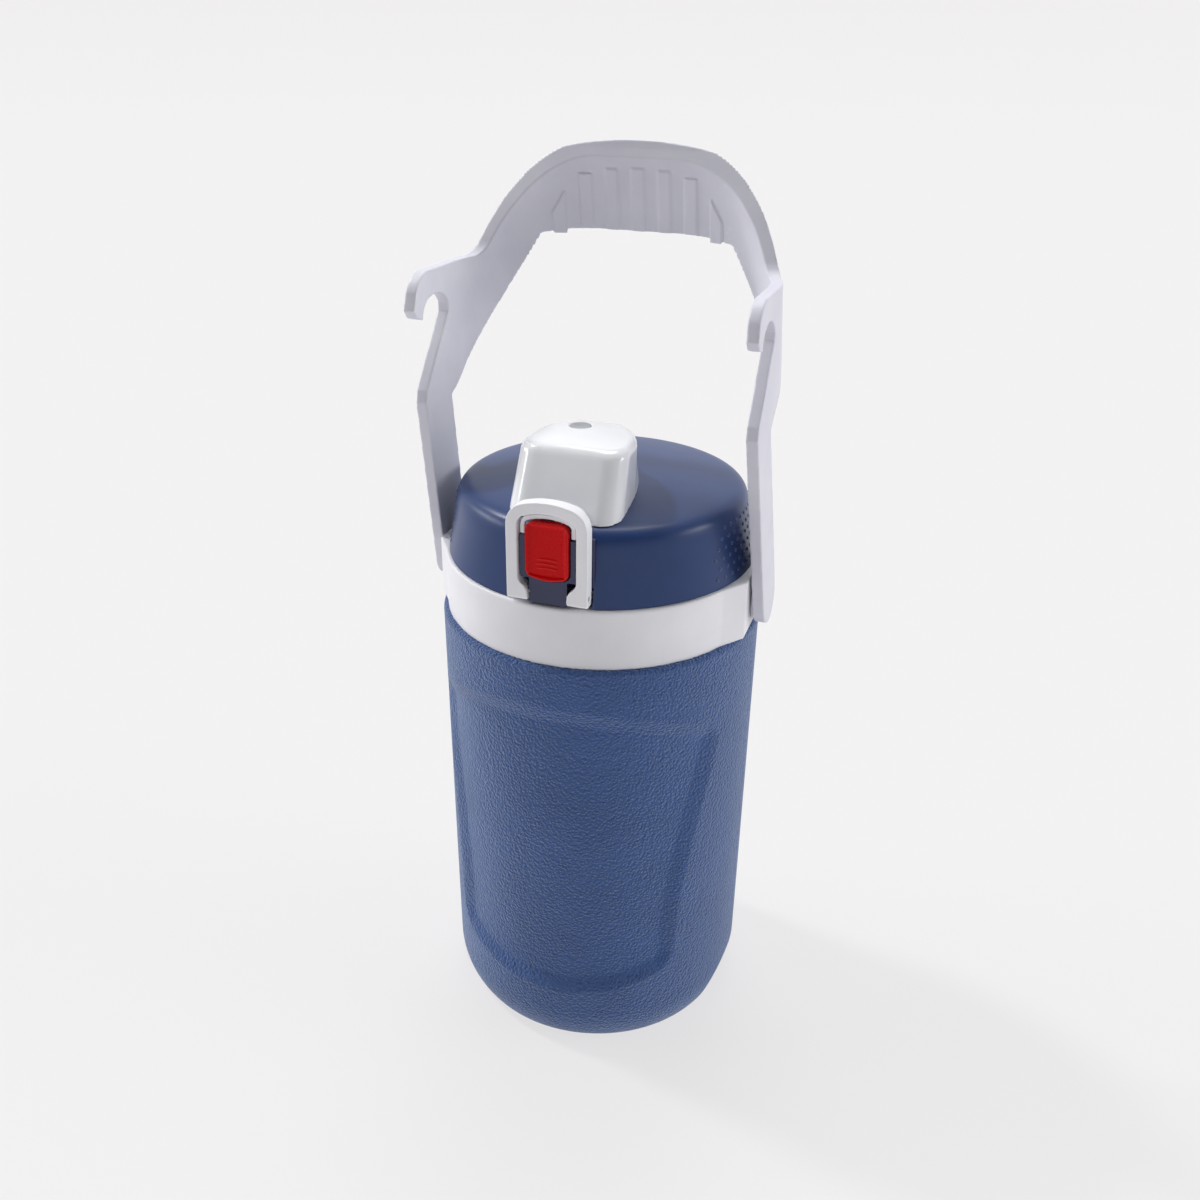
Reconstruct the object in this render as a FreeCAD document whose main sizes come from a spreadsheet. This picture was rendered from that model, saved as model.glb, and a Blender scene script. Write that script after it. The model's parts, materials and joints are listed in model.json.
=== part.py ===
"""Insulated half-gallon water jug with a fence-hook handle and a latched flip-cap lid.

Millimetres.  +Z is up, -Y is the front (the push button), the base rests on z = 0 and
the jug's axis is the Z axis.
"""
import FreeCAD, Part
import math
import os

import Sketcher
from FreeCAD import Vector

# Driving dimensions, all in millimetres; names that end in _deg are degrees.
DIMS = {
    # jacket
    "shell_radius": 72.2, "shell_waist": 71.0, "shell_top": 205.8, "shell_wall": 2.6,
    "foot_radius": 65.2, "foot_bend_low": 67.6, "foot_bend_high": 69.9, "foot_height": 20.0,
    "foot_ring_inner": 54.0, "base_plate": 3.0, "fill_hole": 8.2,
    "scoop_width": 72.0, "scoop_depth": 60.5,
    # recessed panels
    "panel_depth": 2.9, "panel_top": 187.0, "panel_top_inner": 178.5,
    "panel_bottom": 30.8, "panel_bottom_inner": 40.6, "panel_slant": 0.46,
    # inner bottle and its neck
    "liner_radius": 56.2, "liner_wall": 2.4, "liner_floor": 17.0,
    "neck_radius": 58.0, "neck_wall": 2.6, "neck_top": 250.0,
    # collar band and handle pivots
    "band_radius": 70.0, "band_wall": 2.6, "band_bottom": 205.8, "band_top": 232.4,
    "boss_face": 71.0, "boss_half": 19.0, "boss_root": 31.0,
    "pivot_height": 219.25, "pin_radius": 5.0, "pin_inner": 62.0, "pin_outer": 75.6,
    "pivot_clearance": 0.06,
    # handle
    "arm_outer_low": 78.5, "arm_outer_elbow": 73.4, "arm_outer_high": 71.2,
    "strap": 5.0, "strap_corner": 54.0, "strap_back": 50.2, "strap_lean": 0.2,
    "arm_half_width": 12.4, "crown_radius": 160.0, "crown_top": 399.4, "grip_rib": 0.7, "grip_rib_width": 5.3, "grip_rib_pitch": 11.7,
    "pad_radius": 11.0, "pad_face": 71.3, "socket_depth": 76.0,
    # lid
    "lid_radius": 68.36, "lid_bottom": 232.7, "lid_shoulder": 263.8, "lid_crown": 268.5,
    "lid_wall": 2.4, "skirt_radius": 61.9, "skirt_wall": 1.7, "skirt_bottom": 234.0,
    "lid_plate_low": 254.6, "lid_plate_high": 256.4,
    "spout_y": 26.0, "spout_radius": 11.0, "spout_bore": 8.6, "spout_top": 283.6,
    "spout_hole": 11.2,
    # latch: housing, button and bail
    "housing_front": 68.4, "housing_back": 62.4, "housing_plate": 1.5, "housing_half": 18.0,
    "housing_low": 232.9, "housing_high": 262.2, "housing_neck": 8.0, "bezel_half": 12.0,
    "button_half": 9.2, "button_low": 243.8, "button_high": 268.9, "button_front": 69.8,
    "button_thick": 3.2, "pocket_gap": 0.4,
    "loop_half": 17.2, "loop_leg": 4.8, "loop_front": 70.0, "loop_back": 64.2,
    "loop_low": 234.2, "loop_spring": 266.5, "loop_axis_y": 66.9, "loop_axis_z": 237.7,
    "loop_axle": 1.2, "foot_gap": 8.4,
    # flip cap
    "cap_front": 57.5, "cap_front_half": 24.4, "cap_back": 6.3, "cap_back_half": 15.0,
    "cap_base": 262.0, "cap_top": 291.0, "cap_lean": 13.5, "cap_draft": 1.5, "cap_wall": 2.2,
    "cap_back_lean": 11.0, "hinge_y": 3.4, "hinge_z": 271.8, "hinge_pin": 1.5,
    "hinge_knuckle": 2.8, "tongue_half": 11.7, "tongue_front": 68.0, "tongue_low": 262.7,
    "tongue_shoulder": 266.5, "tongue_high": 271.7, "tongue_wall": 2.0,
}

DOC = FreeCAD.newDocument("water_jug")
SHEET = DOC.addObject("Spreadsheet::Sheet", "dims")
for row, (alias, number) in enumerate(DIMS.items(), start=1):
    SHEET.set(f"A{row}", alias)
    SHEET.set(f"B{row}", str(number))
    SHEET.setAlias(f"B{row}", alias)
DOC.recompute()


def amount(words):
    """Value of a sum such as "neck_radius - neck_wall + 0.5"."""
    total = 0.0
    sign = 1.0
    for word in words.split():
        if word in "+-":
            sign = 1.0 if word == "+" else -1.0
        else:
            total += sign * (DIMS[word] if word in DIMS else float(word))
    return total


def formula(words):
    """The same sum as an expression that reads the sheet."""
    text = " ".join(f"dims.{word}" if word in DIMS else word for word in words.split())
    return "0 " + text if text[0] in "+-" else text


def negated(words):
    """The sum with every sign turned."""
    flips = {"+": "-", "-": "+"}
    signed = words if words[0] in "+-" else "+ " + words
    return " ".join(flips.get(word, word) for word in signed.split())


def difference(high, low):
    return f"{high} {negated(low)}"


def signed(number):
    """A plain number as a sum's words."""
    return f"{'-' if number < 0 else '+'} {abs(number):.3f}"


def bind(thing, path, words):
    """Ties one property of a document object to the sheet."""
    thing.setExpression(path, formula(words))


# ---------------------------------------------------------------- sketches and features

def new_body(name):
    body = DOC.addObject("PartDesign::Body", name)
    body.Label = name
    return body


def origin_plane(body, role):
    return next(part for part in body.Origin.OriginFeatures if part.Role == role)


def new_sketch(body, name, role, offset=None):
    sketch = body.newObject("Sketcher::SketchObject", name)
    sketch.AttachmentSupport = [(origin_plane(body, role), "")]
    sketch.MapMode = "FlatFace"
    if offset:
        bind(sketch, "AttachmentOffset.Base.z", offset)
        sketch.AttachmentOffset = FreeCAD.Placement(Vector(0, 0, amount(offset)), FreeCAD.Rotation())
    return sketch


def outline(sketch, corners):
    """Closed outline.  A corner is (u, v); one more pair (u, v, bulge_u, bulge_v) makes the
    edge that leaves it an arc through the bulge point."""
    places = [Vector(amount(corner[0]), amount(corner[1]), 0) for corner in corners]
    for index, corner in enumerate(corners):
        start = places[index]
        end = places[(index + 1) % len(places)]
        if len(corner) == 4:
            through = Vector(amount(corner[2]), amount(corner[3]), 0)
            sketch.addGeometry(arc_through(start, through, end), False)
        else:
            sketch.addGeometry(Part.LineSegment(start, end), False)
    radii = [edge.Radius if hasattr(edge, "Radius") else 0.0 for edge in sketch.Geometry]
    ends = [edge_ends(sketch, index, start) for index, start in enumerate(places)]
    rules = []
    driven = []
    for index, corner in enumerate(corners):
        following = (index + 1) % len(corners)
        tail, head = ends[index]
        rules.append(Sketcher.Constraint("Coincident", index, head, following, ends[following][0]))
        for kind, words in (("DistanceX", corner[0]), ("DistanceY", corner[1])):
            driven.append((len(rules), words))
            rules.append(Sketcher.Constraint(kind, -1, 1, index, tail, amount(words)))
        if (places[following] - places[index]).Length < 1.98 * radii[index]:
            rules.append(Sketcher.Constraint("Radius", index, radii[index]))
    sketch.addConstraint(rules)
    for number, words in driven:
        sketch.setExpression(f"Constraints[{number}]", formula(words))
    return sketch


def arc_through(start, through, end):
    """Arc by three points, always stored anticlockwise."""
    if (through - start).cross(end - through).z < 0:
        start, end = end, start
    circle = Part.Arc(start, through, end).toShape().Curve
    centre = circle.Center
    angles = [math.atan2(point.y - centre.y, point.x - centre.x) for point in (start, end)]
    whole = Part.Circle(centre, Vector(0, 0, 1), circle.Radius)
    return Part.ArcOfCircle(whole, angles[0], angles[1])


def edge_ends(sketch, index, start):
    """Vertex numbers (start, end) of an edge in the outline's own direction."""
    if (sketch.Geometry[index].StartPoint - start).Length < 1e-6:
        return 1, 2
    return 2, 1


def revolved(name, corners):
    """Body turned about Z from an outline in radius and height."""
    body = new_body(name)
    sketch = outline(new_sketch(body, name + "_profile", "XZ_Plane"), corners)
    turn = body.newObject("PartDesign::Revolution", name + "_turned")
    turn.Profile = sketch
    turn.ReferenceAxis = (sketch, ["V_Axis"])
    turn.Angle = 360
    body.Tip = turn
    return body


def padded(name, role, corners, low, high):
    """Body pushed out of an origin plane from height low to height high along its normal."""
    body = new_body(name)
    sketch = outline(new_sketch(body, name + "_outline", role, low), corners)
    pad = body.newObject("PartDesign::Pad", name + "_pad")
    pad.Profile = sketch
    bind(pad, "Length", difference(high, low))
    body.Tip = pad
    return body


def across(name, corners, half):
    """Body of a side outline (y, z), pushed out both ways along X."""
    return padded(name, "YZ_Plane", corners, "- " + half, half)


def loft(name, role, sections):
    """Body through outlines at several heights: [(height, corners), ...]."""
    body = new_body(name)
    sketches = []
    for number, (height, corners) in enumerate(sections):
        sketch = new_sketch(body, f"{name}_section{number}", role, height)
        sketches.append(outline(sketch, corners))
    skin = body.newObject("PartDesign::AdditiveLoft", name + "_loft")
    skin.Profile = sketches[0]
    skin.Sections = sketches[1:]
    skin.Ruled = True
    body.Tip = skin
    return body


def boolean(kind, name, base, tool):
    result = DOC.addObject("Part::" + kind, name)
    result.Base = base
    result.Tool = tool
    result.Label = name
    return result


def cut(name, base, *tools):
    for number, tool in enumerate(tools[:-1], start=1):
        base = boolean("Cut", f"{name}_cut{number}", base, tool)
    return boolean("Cut", name, base, tools[-1])


def fuse(name, *pieces):
    result = DOC.addObject("Part::MultiFuse", name)
    result.Shapes = list(pieces)
    result.Refine = True
    result.Label = name
    return result


def common(name, base, tool):
    return boolean("Common", name, base, tool)


def box(name, low, high):
    """Box between two corners given as sums of cell names."""
    solid = DOC.addObject("Part::Box", name)
    solid.Label = name
    for axis, side in enumerate(("Length", "Width", "Height")):
        bind(solid, side, difference(high[axis], low[axis]))
        bind(solid, "Placement.Base." + "xyz"[axis], low[axis])
    return solid


def rod(name, axis, radius, length, base):
    """Cylinder that starts at base and runs along +X, +Y or +Z."""
    solid = DOC.addObject("Part::Cylinder", name)
    solid.Label = name
    bind(solid, "Radius", radius)
    bind(solid, "Height", length)
    turn = {"x": FreeCAD.Rotation(Vector(0, 1, 0), 90),
            "y": FreeCAD.Rotation(Vector(1, 0, 0), -90),
            "z": FreeCAD.Rotation()}[axis]
    solid.Placement = FreeCAD.Placement(Vector(*(amount(words) for words in base)), turn)
    for letter, words in zip("xyz", base):
        bind(solid, "Placement.Base." + letter, words)
    return solid


def rounded(name, base, radius_of):
    """Base with its edges rounded by what radius_of(edge) gives, None for a sharp edge."""
    DOC.recompute()
    solid = DOC.addObject("Part::Fillet", name)
    solid.Base = base
    solid.Label = name
    radii = [(number, radius_of(edge)) for number, edge in enumerate(base.Shape.Edges, start=1)]
    solid.Edges = [(number, radius, radius) for number, radius in radii if radius]
    return solid


def computed(name, shape):
    feature = DOC.addObject("Part::Feature", name)
    feature.Shape = shape
    feature.Label = name
    return feature


# ---------------------------------------------------------------- jacket with its panels

def ring_point(radius, azimuth_deg, height):
    """Point at an azimuth counted from the front, positive towards +X."""
    turn = math.radians(azimuth_deg)
    return Vector(radius * math.sin(turn), -radius * math.cos(turn), height)


def panel_tool(inset):
    """Cutter of the front panel: a sector with sloped sides, less a waisted spool that
    leaves the panel's floor and its slanted top and bottom walls."""
    surface = DIMS["shell_radius"] - inset
    floor = surface - DIMS["panel_depth"]
    sides = [(196.0, 71.5, 61.0), (145.0, 61.3, 53.5), (90.0, 52.3, 46.8), (22.0, 48.0, 43.6)]
    wires = []
    for height, outer_deg, inner_deg in sides:
        outer = ring_point(surface, outer_deg, height)
        inner = ring_point(floor, inner_deg, height)
        slope = outer - inner
        tip = outer + slope * 0.9
        root = inner - slope * 0.9
        ahead = Vector(tip.x, -100.0, height)
        half = [root, tip, ahead]
        mirrored = [Vector(-point.x, point.y, height) for point in reversed(half)]
        wires.append(Part.makePolygon(half + mirrored + [root]))
    sector = Part.makeLoft(wires, True, True)
    slant = DIMS["panel_slant"]
    rings = [(surface, "panel_bottom", slant), (floor, "panel_bottom_inner", slant),
             (floor, "panel_top_inner", -slant), (surface, "panel_top", -slant)]
    circles = [tilted_ring(radius, DIMS[key], tilt) for radius, key, tilt in rings]
    spool = Part.makeLoft(circles, True, True)
    beyond = 1.0 / 3.0
    walls = []
    for key, inner_key, tilt in (("panel_bottom", "panel_bottom_inner", slant),
                                 ("panel_top", "panel_top_inner", -slant)):
        outer_z = DIMS[key]
        step = (outer_z - DIMS[inner_key]) * beyond
        edge = tilted_ring(surface, outer_z, tilt)
        far = tilted_ring(surface + DIMS["panel_depth"] * beyond, outer_z + step, tilt)
        walls.append(Part.makeLoft([edge, far], True, True))
        cap = tilted_ring(surface + DIMS["panel_depth"] * beyond, outer_z + 60.0 * step, tilt)
        walls.append(Part.makeLoft([far, cap], True, True))
    for wall in walls:
        sector = sector.cut(wall)
    return sector.cut(spool)


def tilted_ring(radius, front_height, tilt):
    """Ellipse cut from a cylinder by a plane that tips about X; z is given at the front."""
    slope = math.atan(tilt)
    centre_z = front_height + radius * tilt
    along = radius / math.cos(slope)
    side = Vector(1, 0, 0)
    back = Vector(0, math.cos(slope), math.sin(slope))
    ellipse = Part.Ellipse(Vector(*(back * along)) + Vector(0, 0, centre_z),
                           side * radius + Vector(0, 0, centre_z), Vector(0, 0, centre_z))
    return Part.Wire([ellipse.toShape()])


def jacket():
    blank = revolved("jacket_blank", [
        ("fill_hole", "base_plate"), ("foot_ring_inner", "base_plate"),
        ("foot_ring_inner + 2.0", "0"), ("foot_radius", "0"), ("foot_bend_low", "2.6"),
        ("foot_bend_high", "9.5"), ("shell_waist", "foot_height"),
        ("shell_radius", "shell_top - 1.6"), ("shell_radius - 0.7", "shell_top - 0.3"),
        ("shell_radius - 1.6", "shell_top"), ("fill_hole", "shell_top")])
    scoop_outline = [("scoop_depth", "- 1.0"), ("shell_radius + 3.0", "- 1.0"),
                     ("shell_radius + 3.0", "foot_height + 3.2"), ("shell_waist", "foot_height")]
    right_scoop = scoop("right_scoop", scoop_outline, 1)
    left_scoop = scoop("left_scoop", scoop_outline, -1)
    cavity = revolved("foam_cavity", [
        ("0", "base_plate + shell_wall"), ("foot_ring_inner + 1.0", "base_plate + shell_wall"),
        ("shell_waist - 4.6", "foot_height + 5.0"), ("shell_waist - shell_wall", "foot_height + 16.0"),
        ("shell_radius - shell_wall", "shell_top - shell_wall"),
        ("0", "shell_top - shell_wall")])
    throat = rod("jacket_throat", "z", "neck_radius", "shell_wall + 1.0",
                 ("0", "0", "shell_top - shell_wall"))
    front = computed("front_panel_tool", panel_tool(0.0))
    back = computed("back_panel_tool", turned(front.Shape))
    front_inside = computed("front_cavity_tool", panel_tool(DIMS["shell_wall"]))
    back_inside = computed("back_cavity_tool", turned(front_inside.Shape))
    hollow = cut("jacket_hollow", cavity, front_inside, back_inside)
    shell = cut("outer_shell", blank, right_scoop, left_scoop, front, back, hollow, throat)
    return shell, hollow


def scoop(name, corners, side):
    """Finger scoop under one side of the base."""
    words = [(u if side > 0 else negated(u), v) for u, v in corners]
    body = new_body(name)
    sketch = outline(new_sketch(body, name + "_outline", "XZ_Plane"), words)
    pad = body.newObject("PartDesign::Pad", name + "_pad")
    pad.Profile = sketch
    bind(pad, "Length", "scoop_width")
    pad.Midplane = True
    body.Tip = pad
    return body


def turned(shape):
    copy = shape.copy()
    copy.rotate(Vector(0, 0, 0), Vector(0, 0, 1), 180)
    return copy


# ---------------------------------------------------------------- bottle, foam and plug

def bottle():
    neck_inner = "neck_radius - neck_wall"
    body_inner = "liner_radius - liner_wall"
    return revolved("inner_liner", [
        ("0", "liner_floor"), ("liner_radius - 9.0", "liner_floor"),
        ("liner_radius - 2.5", "liner_floor + 3.0"), ("liner_radius", "liner_floor + 10.0"),
        ("liner_radius", "shell_top - 14.0"), ("neck_radius", "shell_top - 6.0"),
        ("neck_radius", "neck_top"), (neck_inner, "neck_top"),
        (neck_inner, "shell_top - 5.0"), (body_inner, "shell_top - 13.0"),
        (body_inner, "liner_floor + 10.5"), ("liner_radius - 4.5", "liner_floor + 5.0"),
        ("liner_radius - 10.0", "liner_floor + liner_wall"), ("0", "liner_floor + liner_wall")])


def foam(hollow):
    envelope = revolved("liner_envelope", [
        ("0", "liner_floor"), ("liner_radius - 9.0", "liner_floor"),
        ("liner_radius - 2.5", "liner_floor + 3.0"), ("liner_radius", "liner_floor + 10.0"),
        ("liner_radius", "shell_top - 14.0"), ("neck_radius", "shell_top - 6.0"),
        ("neck_radius", "shell_top + 1.0"), ("0", "shell_top + 1.0")])
    return cut("foam_insulation", hollow, envelope)


def fill_plug():
    return revolved("base_fill_plug", [
        ("0", "base_plate - 1.5"), ("fill_hole + 3.0", "base_plate - 1.5"),
        ("fill_hole + 3.0", "base_plate"), ("fill_hole", "base_plate"),
        ("fill_hole", "base_plate + shell_wall"), ("0", "base_plate + shell_wall")])


# ---------------------------------------------------------------- collar band and pins

def collar():
    ring = revolved("band_ring", [
        ("neck_radius", "band_top - band_wall"), ("band_radius - band_wall", "band_top - band_wall"),
        ("band_radius - band_wall", "band_bottom"), ("band_radius", "band_bottom"),
        ("band_radius", "band_top - 0.6"), ("band_radius - 0.6", "band_top"),
        ("neck_radius", "band_top")])
    bosses = padded("band_bosses", "XY_Plane", [
        ("boss_face", "- boss_half"), ("boss_face", "boss_half"), ("band_radius - 7.5", "boss_root"),
        ("- band_radius + 7.5", "boss_root"), ("- boss_face", "boss_half"),
        ("- boss_face", "- boss_half"), ("- band_radius + 7.5", "- boss_root"),
        ("band_radius - 7.5", "- boss_root")], "band_bottom", "band_top")
    core = rod("band_core", "z", "band_radius - 8.0", "30.0", ("0", "0", "band_bottom - 1.0"))
    blank = fuse("band_blank", ring, cut("boss_pair", bosses, core))
    bore = rod("band_bore", "x", "pin_radius", "160.0", ("- 80.0", "0", "pivot_height"))
    return cut("collar_band", blank, bore)


def pivot_pins():
    length = "pin_outer - pin_inner"
    right = rod("right_pivot_pin", "x", "pin_radius", length, ("pin_inner", "0", "pivot_height"))
    left = rod("left_pivot_pin", "x", "pin_radius", length, ("- pin_outer", "0", "pivot_height"))
    return [left, right]


# ---------------------------------------------------------------- handle

def strap_section(half, back):
    """U of the strap seen from above, closed across the front."""
    corner = DIMS["strap_corner"]
    inset = DIMS["strap"] if "- strap" in half else 0.0
    radius = corner - inset
    lag = radius * (1.0 - math.sqrt(0.5))
    side_x = f"{half} - {lag:.4f}"
    rear_y = f"{back} - {lag:.4f}"
    start_y = f"{back} - {radius:.4f}"
    flat_x = f"{half} - {radius:.4f}"
    minus = {words: negated(words) for words in (half, side_x, flat_x)}
    return [(half, "- 70.0"), (half, start_y, side_x, rear_y), (flat_x, back),
            (minus[flat_x], back, minus[side_x], rear_y), (minus[half], start_y),
            (minus[half], "- 70.0")]


def strap_body(name, inset):
    lean = DIMS["strap_lean"]
    grip_height = 361.0
    sections = []
    for height, half in ((198.0, "arm_outer_low"), (299.0, "arm_outer_elbow"),
                         (404.0, "arm_outer_high")):
        back = "strap_back " + signed(-lean * (height - grip_height))
        sections.append((str(height), strap_section(half + inset, back + inset)))
    return loft(name, "XY_Plane", sections)


def handle():
    # Side outline: arm end round the pivot, elbow, fence hook, top rim and grip.
    side = across("handle_side", [
        ("- 12.05", "pivot_height - 2.9"), ("- 31.2", "298.4"), ("- 30.0", "303.6"),
        ("- 7.9", "332.4"), ("- 7.7", "336.4", "- 15.5", "341.8"), ("- 24.0", "341.6",
                                                                  "- 28.3", "339.6"),
        ("- 31.2", "333.6"), ("- 36.5", "335.2"), ("- 39.2", "338.6"),
        ("- 37.2", "345.6", "- 34.0", "349.4"), ("- 27.0", "352.6"), ("- 8.0", "352.2"),
        ("14.0", "352.0", "19.6", "354.2"), ("22.6", "358.6"), ("40.6", "396.2"),
        ("41.4", "399.4"), ("56.0", "399.4"), ("56.0", "361.8"), ("45.4", "361.8"),
        ("38.9", "359.4", "27.2", "326.4"), ("- 5.6", "295.6"),
        ("12.05", "pivot_height + 2.9", "9.74", "pivot_height - 7.67"),
        ("0", "pivot_height - arm_half_width", "- 7.68", "pivot_height - 9.74")], "90.0")
    strap_solid = cut("strap_solid", strap_body("strap_outer", ""),
                      strap_body("strap_inner", " - strap"))
    crown = rod("grip_crown", "y", "crown_radius", "160.0", ("0", "- 80.0", "crown_top - crown_radius"))
    blade = common("handle_blade", common("strap_crowned", strap_solid, crown), side)
    rib_zone = cut("rib_zone", strap_body("rib_outer", " - strap"),
                   strap_body("rib_inner", " - strap - grip_rib"))
    bars = []
    half = DIMS["grip_rib_width"] / 2
    for number in range(-2, 3):
        centre = number * DIMS["grip_rib_pitch"]
        top = 388.0 - 0.75 * number * number
        bars.append(box(f"rib_bar{number + 3}",
                        (signed(centre - half), "30.0", "361.8"),
                        (signed(centre + half), "60.0", signed(top))))
    for side_sign in (-1, 1):
        near, far = 32.5 * side_sign, 37.8 * side_sign
        corners = [Vector(near, 30, 359.4), Vector(far, 30, 359.4), Vector(far, 30, 368.6),
                   Vector(near, 30, 377.4)]
        face = Part.Face(Part.makePolygon(corners + corners[:1]))
        bars.append(computed("rib_end_" + ("left" if side_sign < 0 else "right"),
                             face.extrude(Vector(0, 30, 0))))
    ribs = common("grip_ribs", rib_zone, fuse("rib_bars", *bars))
    pads = []
    for name, start in (("right_pad", "pad_face"), ("left_pad", "- pad_face - 3.2")):
        pads.append(rod(name, "x", "pad_radius", "3.2", (start, "0", "pivot_height")))
    blank = fuse("handle_blank", blade, ribs, *pads)
    sockets = []
    for name, start in (("right_socket", "pad_face - 2.0"), ("left_socket", "- socket_depth")):
        sockets.append(rod(name, "x", "pin_radius + pivot_clearance",
                           "socket_depth - pad_face + 2.0", (start, "0", "pivot_height")))
    return cut("handle", blank, *sockets)


# ---------------------------------------------------------------- lid

LID_WALL_TOP = ("lid_radius - 3.86", "lid_shoulder - 6.8")


def lid_shell():
    shell = revolved("lid_turning", [
        ("lid_radius", "lid_bottom"), ("lid_radius - 3.3", "250.0"), LID_WALL_TOP,
        ("lid_radius - 4.9", "lid_shoulder - 2.8"), ("lid_radius - 7.9", "lid_shoulder"),
        ("30.0", "lid_crown - 1.1"), ("0", "lid_crown"), ("0", "lid_crown - lid_wall"),
        ("30.0", "lid_crown - lid_wall - 1.1"), ("lid_radius - 8.6", "lid_shoulder - lid_wall"),
        ("lid_radius - 6.3", "lid_shoulder - 6.8"), ("lid_radius - 5.6", "250.0"),
        ("lid_radius - lid_wall", "lid_bottom")])
    window = box("latch_window", ("- housing_half", "- 75.0", "lid_bottom - 2.0"),
                 ("housing_half", "- housing_back + 0.2", "housing_high"))
    spout_gap = rod("lid_spout_hole", "z", "spout_hole", "20.0", ("0", "- spout_y", "255.0"))
    ears = []
    for name, low, high in (("left_ear", "- 8.0", "- 3.2"), ("right_ear", "3.2", "8.0")):
        ears.append(across_span(name, low, high))
    blank = fuse("lid_blank", shell, *ears)
    pin_hole = rod("lid_pin_hole", "x", "hinge_pin", "20.0", ("- 10.0", "hinge_y", "hinge_z"))
    return cut("lid_shell", blank, window, spout_gap, pin_hole)


def across_span(name, low, high):
    """Hinge ear of the lid between two x values, rounded over the pin."""
    return padded(name, "YZ_Plane", [
        ("hinge_y + 3.6", "lid_crown - 1.2"), ("hinge_y + hinge_knuckle", "hinge_z",
                                               "hinge_y", "hinge_z + hinge_knuckle"),
        ("hinge_y - hinge_knuckle", "hinge_z"), ("hinge_y - 3.6", "lid_crown - 1.2")], low, high)


def lid_inside():
    """Inner lid with its skirt, the foam above it and the seal under it."""
    liner = revolved("lid_liner_turning", [
        ("0", "lid_plate_low"), ("52.6", "lid_plate_low"), ("52.6", "250.6"), ("54.2", "250.6"),
        ("54.2", "lid_plate_low"), ("skirt_radius - skirt_wall", "lid_plate_low"),
        ("skirt_radius - skirt_wall", "skirt_bottom"), ("skirt_radius", "skirt_bottom"),
        ("skirt_radius", "lid_plate_high"), ("0", "lid_plate_high")])
    liner_hole = rod("liner_spout_hole", "z", "spout_hole", "6.0", ("0", "- spout_y", "252.0"))
    filling = revolved("lid_foam_turning", [
        ("0", "lid_plate_high"), ("skirt_radius - 0.3", "lid_plate_high"),
        ("lid_radius - 8.9", "lid_shoulder - lid_wall - 0.3"),
        ("30.0", "lid_crown - lid_wall - 1.4"), ("0", "lid_crown - lid_wall - 0.3")])
    foam_hole = rod("foam_spout_hole", "z", "spout_hole", "14.0", ("0", "- spout_y", "254.0"))
    gasket = revolved("lid_gasket", [
        ("54.6", "250.3"), ("59.2", "250.3"), ("59.2", "254.3"), ("54.6", "254.3")])
    return [cut("lid_liner", liner, liner_hole), cut("lid_foam", filling, foam_hole), gasket]


def spout():
    tube = revolved("spout_tube", [
        ("spout_bore - 1.2", "lid_plate_low - 3.0"), ("spout_radius - 0.4", "lid_plate_low - 3.0"),
        ("spout_radius", "lid_plate_low - 2.0"), ("spout_radius", "lid_crown + 0.6"),
        ("spout_radius + 1.6", "lid_crown + 0.6"), ("spout_radius + 1.6", "lid_crown + 2.2"),
        ("spout_radius - 0.2", "lid_crown + 2.8"), ("spout_radius - 0.6", "spout_top - 0.8"),
        ("spout_radius - 1.2", "spout_top"), ("spout_bore", "spout_top"),
        ("spout_bore - 0.4", "lid_crown")])
    DOC.recompute()
    standing = DOC.addObject("Part::Feature", "spout")
    standing.Label = "spout"
    standing.Shape = tube.Shape.copy()
    standing.Placement = FreeCAD.Placement(Vector(0, -DIMS["spout_y"], 0), FreeCAD.Rotation())
    bind(standing, "Placement.Base.y", "- spout_y")
    return standing


# ---------------------------------------------------------------- latch

def latch_housing():
    plate = box("housing_plate_box", ("- housing_half", "- housing_back - housing_plate",
                                      "housing_low"),
                ("housing_half", "- housing_back", "housing_high"))
    face = padded("housing_face", "XZ_Plane", [
        ("- housing_neck", "housing_low"), ("housing_neck", "housing_low"),
        ("housing_neck", "237.4", "housing_neck + 0.9", "239.9"), ("10.6", "241.4",
                                                                  "11.6", "242.9"),
        ("bezel_half", "244.8"), ("bezel_half", "housing_high"),
        ("- bezel_half", "housing_high"), ("- bezel_half", "244.8", "- 11.6", "242.9"),
        ("- 10.6", "241.4", "- housing_neck - 0.9", "239.9"), ("- housing_neck", "237.4")],
        "housing_back + housing_plate", "housing_front")
    pocket = padded("button_pocket", "XZ_Plane",
                    button_outline("button_half + pocket_gap", "button_low - pocket_gap"),
                    "housing_back + housing_plate", "housing_front + 3.0")
    axle_hole = rod("housing_axle_hole", "x", "loop_axle", "40.0",
                    ("- 20.0", "- loop_axis_y", "loop_axis_z"))
    relieved_plate = cut("plate_relieved", plate, *foot_reliefs("plate", "4.7"))
    relieved_face = cut("face_relieved", face, pocket, *foot_reliefs("face", "6.2"))
    return cut("latch_bezel", fuse("housing_blank", relieved_plate, relieved_face), axle_hole)


def foot_reliefs(name, radius):
    """Room for the lock loop's two feet to turn about their axle."""
    reliefs = []
    for side, start in (("left", "- housing_half - 1.0"), ("right", "foot_gap - 0.3")):
        reliefs.append(rod(f"{name}_{side}_relief", "x", radius, "housing_half - foot_gap + 1.3",
                           (start, "- loop_axis_y", "loop_axis_z")))
    return reliefs


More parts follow.
